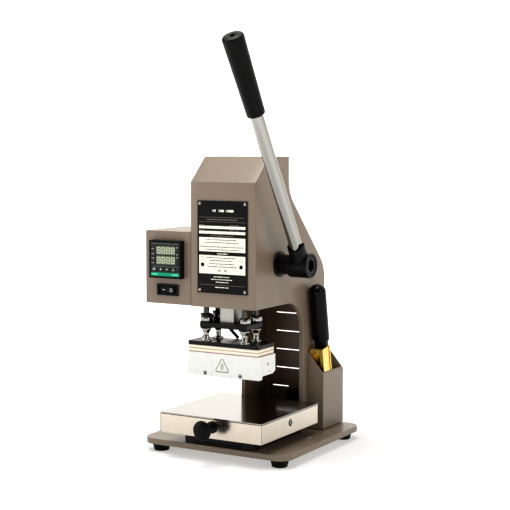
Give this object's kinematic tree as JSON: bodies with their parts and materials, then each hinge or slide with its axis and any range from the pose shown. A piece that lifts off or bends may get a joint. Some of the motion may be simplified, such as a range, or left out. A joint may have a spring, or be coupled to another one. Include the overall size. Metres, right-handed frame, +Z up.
{
  "type": "tabletop hot-foil printing press",
  "caption": "Bench press with a side lever that drives a heated printing head down onto a pull-out work table, with a temperature control box.",
  "frame": {"origin": "middle of the whole press's footprint at rest, on the bench top", "axes": "+X to the operator's right, +Y away from the operator, +Z up"},
  "size_m": [0.2126, 0.3166, 0.5198],
  "materials": {
    "taupe_paint": "satin powder coat",
    "foot_rubber": "matt moulded",
    "grip_rubber": "satin moulded",
    "black_plastic": "satin moulded",
    "black_steel": "black oxide",
    "bright_chrome": "polished",
    "ground_steel": "ground",
    "stainless": "polished stainless",
    "yellow_brass": "machined",
    "bush_bronze": "machined",
    "white_enamel": "baked enamel",
    "board_cream": "laminated board",
    "lead_sleeve": "sleeved wire",
    "label_black": "printed plate",
    "face_black": "printed membrane",
    "display_lens": "lit display"
  },
  "bodies": {
    "frame": {"base_plate": "taupe_paint", "foot_front_left": "foot_rubber", "foot_front_right": "foot_rubber", "foot_back_left": "foot_rubber", "foot_back_right": "foot_rubber", "left_side_plate": "taupe_paint", "right_side_plate": "taupe_paint", "front_cover": "taupe_paint", "back_panel": "taupe_paint", "power_inlet": "black_plastic", "name_plate": "label_black", "lower_ram_guide": "black_steel", "upper_ram_guide": "black_steel", "return_spring_left": "ground_steel", "return_spring_right": "ground_steel", "shaft_bush_right": "black_steel", "shaft_bush_left": "bush_bronze", "slide_bed": "black_steel", "control_box": "taupe_paint", "controller_case": "black_plastic", "controller_face": "face_black", "display_window": "display_lens", "switch_bezel": "black_plastic", "tool_pocket": "taupe_paint"},
    "lever": {"lever_shaft": "ground_steel", "drive_pinion": "ground_steel", "lever_hub": "black_steel", "hub_cap_screw": "black_steel", "lever_rod": "bright_chrome", "lever_grip": "grip_rubber"},
    "ram": {"ram_bar": "ground_steel", "spring_crosshead": "black_steel", "level_bolt_front_left": "bright_chrome", "level_bolt_front_right": "bright_chrome", "level_bolt_back_left": "bright_chrome", "level_bolt_back_right": "bright_chrome", "yoke_plate": "black_steel", "heater_plate": "black_steel", "insulation_board": "board_cream", "heater_block": "white_enamel", "heater_front_plate": "white_enamel", "clamp_screw_left": "ground_steel", "clamp_screw_right": "ground_steel", "cartridge_heater_front": "ground_steel", "cartridge_heater_back": "ground_steel", "heater_lead": "lead_sleeve", "probe_lead": "lead_sleeve"},
    "table": {"table_pan": "stainless", "table_top": "stainless", "slide_tongue": "black_steel", "table_knob": "black_plastic"},
    "type_holder": {"type_holder_body": "yellow_brass", "type_holder_handle": "black_plastic"},
    "holder_jaw": {"type_holder_jaw": "yellow_brass"},
    "key_1": {"key_1": "face_black"},
    "key_2": {"key_2": "face_black"},
    "key_3": {"key_3": "face_black"},
    "key_4": {"key_4": "face_black"},
    "rocker": {"switch_rocker": "black_plastic"}
  },
  "joints": [
    {"name": "lever_turn", "type": "hinge", "parent": "frame", "child": "lever", "pos_m": [0.00875, 0.01979, 0.2428], "axis": [1, 0, 0], "range_deg": [0, 70.5]},
    {"name": "ram_slide", "type": "slide", "parent": "frame", "child": "ram", "axis": [0, 0, -1], "range_m": [0, 0.04], "stiffness_N_per_m": 1500, "springref_m": -0.045, "deforming": ["return_spring_left", "return_spring_right"]},
    {"name": "table_slide", "type": "slide", "parent": "frame", "child": "table", "axis": [0, -1, 0], "range_m": [0, 0.09]},
    {"name": "holder_lift", "type": "slide", "parent": "frame", "child": "type_holder", "axis": [0, -0.1736, 0.9848], "range_m": [0, 0.115]},
    {"name": "jaw_slide", "type": "slide", "parent": "type_holder", "child": "holder_jaw", "axis": [-1, 0, 0], "range_m": [0, 0.003]},
    {"name": "key_1_press", "type": "slide", "parent": "frame", "child": "key_1", "axis": [0, 1, 0], "range_m": [0, 0.0006], "stiffness_N_per_m": 800, "springref_m": -0.0005},
    {"name": "key_2_press", "type": "slide", "parent": "frame", "child": "key_2", "axis": [0, 1, 0], "range_m": [0, 0.0006], "stiffness_N_per_m": 800, "springref_m": -0.0005},
    {"name": "key_3_press", "type": "slide", "parent": "frame", "child": "key_3", "axis": [0, 1, 0], "range_m": [0, 0.0006], "stiffness_N_per_m": 800, "springref_m": -0.0005},
    {"name": "key_4_press", "type": "slide", "parent": "frame", "child": "key_4", "axis": [0, 1, 0], "range_m": [0, 0.0006], "stiffness_N_per_m": 800, "springref_m": -0.0005},
    {"name": "rocker_tilt", "type": "hinge", "parent": "frame", "child": "rocker", "pos_m": [-0.07245, -0.03951, 0.2086], "axis": [0, 0, 1], "range_deg": [0, 16]}
  ],
  "couplings": [
    {"joint": "ram_slide", "follows": "lever_turn", "m_per_rad": 0.0325}
  ]
}
